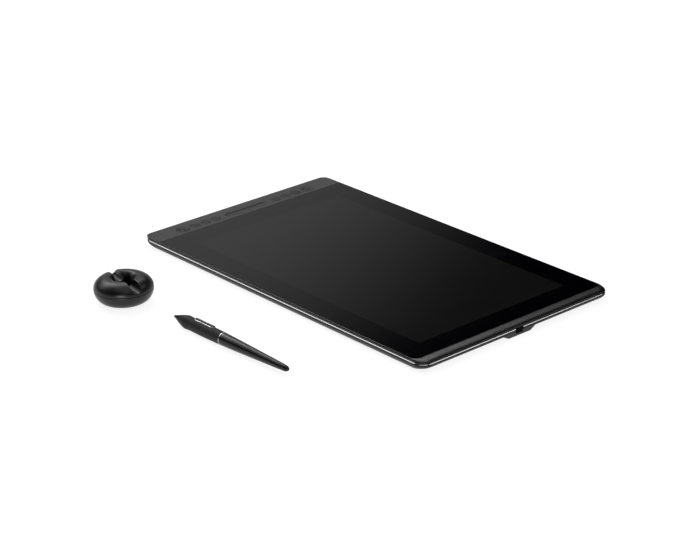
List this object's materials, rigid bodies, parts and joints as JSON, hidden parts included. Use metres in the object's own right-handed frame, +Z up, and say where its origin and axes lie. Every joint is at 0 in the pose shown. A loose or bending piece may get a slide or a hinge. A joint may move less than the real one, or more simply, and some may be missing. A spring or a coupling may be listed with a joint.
{
  "type": "graphics tablet with screen",
  "caption": "Flat pen display with a wide glass screen, a strip of round keys and a touch bar on one short side, a battery-free pen and a ring-shaped pen stand.",
  "frame": {"origin": "middle of the tablet at desk level, on the underside of its round middle foot", "axes": "+X along the tablet's long side to the port, +Y to the long edge away from the pen and stand, +Z up out of the screen"},
  "size_m": [0.4372, 0.3803, 0.0268],
  "materials": {
    "case_plastic": "fine-textured dark grey moulded plastic",
    "frame_satin": "satin dark grey paint on a metal frame",
    "polished_trim": "polished chamfer on a grey metal ring",
    "foot_rubber": "matte black rubber",
    "cover_glass": "etched cover glass over a black border and a dark display",
    "strip_matte": "fine matte dark grey",
    "key_plastic": "satin dark grey keycap",
    "bar_gloss": "glossy black touch bar",
    "ribbon_film": "amber ribbon film",
    "circuit_board": "green solder mask",
    "switch_metal": "stamped switch case",
    "cell_glass": "dark display cell",
    "guide_acrylic": "clear white light guide",
    "tray_metal": "bare pressed sheet",
    "chip_black": "black moulded package",
    "connector_ivory": "ivory connector housing",
    "screw_steel": "dark zinc-plated steel",
    "socket_steel": "drawn steel socket shell",
    "grip_rubber": "soft matte black grip",
    "pen_gloss": "glossy black",
    "nib_plastic": "black nib",
    "rocker_black": "black rocker",
    "pen_bright": "bright silver",
    "coil_copper": "copper-wound ferrite",
    "stand_satin": "soft satin black",
    "ballast_iron": "plain iron ring"
  },
  "bodies": {
    "tablet": {"rear_shell": "case_plastic", "rubber_feet": "foot_rubber", "trim_ring": "polished_trim", "front_frame": "frame_satin", "case_screws": "screw_steel", "cover_glass": "cover_glass", "key_strip": "strip_matte", "touch_bar": "bar_gloss", "touch_film": "ribbon_film", "key_board": "circuit_board", "key_switches": "switch_metal", "display_cell": "cell_glass", "light_guide": "guide_acrylic", "backlight_tray": "tray_metal", "pen_sensor_board": "circuit_board", "shield_plate": "tray_metal", "main_board": "circuit_board", "board_chips": "chip_black", "board_connectors": "connector_ivory", "board_screws": "screw_steel", "key_cable": "ribbon_film", "display_cable": "ribbon_film", "socket_shell": "socket_steel", "socket_tongue": "chip_black"},
    "key_1": {"key_1": "key_plastic"},
    "key_2": {"key_2": "key_plastic"},
    "key_3": {"key_3": "key_plastic"},
    "key_4": {"key_4": "key_plastic"},
    "key_5": {"key_5": "key_plastic"},
    "key_6": {"key_6": "key_plastic"},
    "key_7": {"key_7": "key_plastic"},
    "key_8": {"key_8": "key_plastic"},
    "pen": {"pen_grip": "grip_rubber", "pen_nose": "pen_gloss", "pen_rocker_bezel": "pen_bright", "pen_ring": "pen_bright", "pen_barrel": "pen_gloss", "pen_tail": "pen_gloss", "pen_core": "chip_black", "pen_coil": "coil_copper", "pen_force_sensor": "switch_metal", "pen_board": "circuit_board", "pen_switches": "switch_metal"},
    "pen_nib": {"pen_nib": "nib_plastic"},
    "pen_rocker": {"pen_rocker": "rocker_black"},
    "stand": {"stand_base": "stand_satin", "stand_foot": "foot_rubber", "stand_ballast": "ballast_iron", "nib_tray": "strip_matte", "spare_nibs": "nib_plastic", "nib_puller": "screw_steel"},
    "stand_cap": {"stand_cap": "stand_satin"}
  },
  "joints": [
    {"name": "key_1_press", "type": "slide", "parent": "tablet", "child": "key_1", "axis": [0, 0, -1], "range_m": [0, 0.00035], "stiffness_N_per_m": 1500},
    {"name": "key_2_press", "type": "slide", "parent": "tablet", "child": "key_2", "axis": [0, 0, -1], "range_m": [0, 0.00035], "stiffness_N_per_m": 1500},
    {"name": "key_3_press", "type": "slide", "parent": "tablet", "child": "key_3", "axis": [0, 0, -1], "range_m": [0, 0.00035], "stiffness_N_per_m": 1500},
    {"name": "key_4_press", "type": "slide", "parent": "tablet", "child": "key_4", "axis": [0, 0, -1], "range_m": [0, 0.00035], "stiffness_N_per_m": 1500},
    {"name": "key_5_press", "type": "slide", "parent": "tablet", "child": "key_5", "axis": [0, 0, -1], "range_m": [0, 0.00035], "stiffness_N_per_m": 1500},
    {"name": "key_6_press", "type": "slide", "parent": "tablet", "child": "key_6", "axis": [0, 0, -1], "range_m": [0, 0.00035], "stiffness_N_per_m": 1500},
    {"name": "key_7_press", "type": "slide", "parent": "tablet", "child": "key_7", "axis": [0, 0, -1], "range_m": [0, 0.00035], "stiffness_N_per_m": 1500},
    {"name": "key_8_press", "type": "slide", "parent": "tablet", "child": "key_8", "axis": [0, 0, -1], "range_m": [0, 0.00035], "stiffness_N_per_m": 1500},
    {"name": "pen_lift", "type": "slide", "parent": "tablet", "child": "pen", "axis": [0, 0, 1], "range_m": [0, 0.15]},
    {"name": "nib_press", "type": "slide", "parent": "pen", "child": "pen_nib", "axis": [0.9997, 0.0227, 0], "range_m": [0, 0.0005], "stiffness_N_per_m": 2000},
    {"name": "rocker_tilt", "type": "hinge", "parent": "pen", "child": "pen_rocker", "pos_m": [0.0089, -0.21658, 0.01154], "axis": [-0.021, 0.9269, -0.3746], "range_deg": [-2, 2], "stiffness_Nm_per_rad": 0.25},
    {"name": "stand_lift", "type": "slide", "parent": "tablet", "child": "stand", "axis": [0, 0, 1], "range_m": [0, 0.15]},
    {"name": "cap_lift", "type": "slide", "parent": "stand", "child": "stand_cap", "axis": [0, 0, 1], "range_m": [0, 0.04]}
  ]
}
